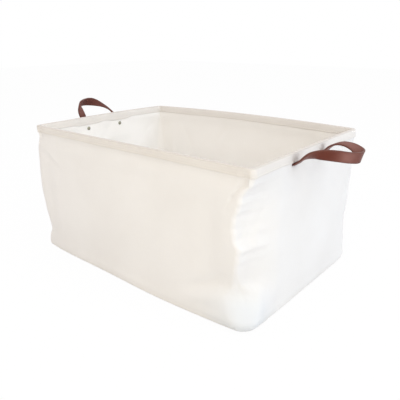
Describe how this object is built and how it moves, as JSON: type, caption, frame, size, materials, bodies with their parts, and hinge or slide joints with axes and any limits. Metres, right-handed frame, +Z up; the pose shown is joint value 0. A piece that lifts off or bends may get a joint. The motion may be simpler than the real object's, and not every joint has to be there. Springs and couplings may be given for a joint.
{
  "type": "fabric storage bin",
  "caption": "Rectangular lined canvas storage bin, open at the top, with a wired rim, a stiff base and a riveted leather strap handle at each end.",
  "frame": {"origin": "the middle of the underside, on the floor", "axes": "+X along the long side towards the right end, +Y across the bin towards the back, +Z up"},
  "size_m": [0.619, 0.34, 0.287],
  "materials": {
    "canvas": "off-white cotton canvas",
    "lining": "off-white cotton lining",
    "binding": "off-white canvas, folded and stitched",
    "board": "stiff fibreboard",
    "wire": "drawn steel wire",
    "leather": "reddish brown, matt, dark cut edges",
    "rivet": "antique, dull"
  },
  "bodies": {
    "bin": {"outer_front_panel": "canvas", "outer_back_panel": "canvas", "outer_left_panel": "canvas", "outer_right_panel": "canvas", "outer_base_panel": "canvas", "lining_front_panel": "lining", "lining_back_panel": "lining", "lining_left_panel": "lining", "lining_right_panel": "lining", "lining_base_panel": "lining", "base_board": "board", "rim_binding": "binding", "rim_wire": "wire", "wire_sleeve": "wire", "left_strap_ends": "leather", "left_rivet_posts": "rivet", "left_rivet_heads": "rivet", "right_strap_ends": "leather", "right_rivet_posts": "rivet", "right_rivet_heads": "rivet"},
    "left_handle": {"left_strap_loop": "leather"},
    "right_handle": {"right_strap_loop": "leather"}
  },
  "joints": [
    {"name": "left_handle_swing", "type": "hinge", "parent": "bin", "child": "left_handle", "pos_m": [-0.2519, -0.009, 0.2341], "axis": [0, 1, 0], "range_deg": [-130, 3]},
    {"name": "right_handle_swing", "type": "hinge", "parent": "bin", "child": "right_handle", "pos_m": [0.2519, -0.009, 0.2341], "axis": [0, 1, 0], "range_deg": [-35, 90]}
  ]
}
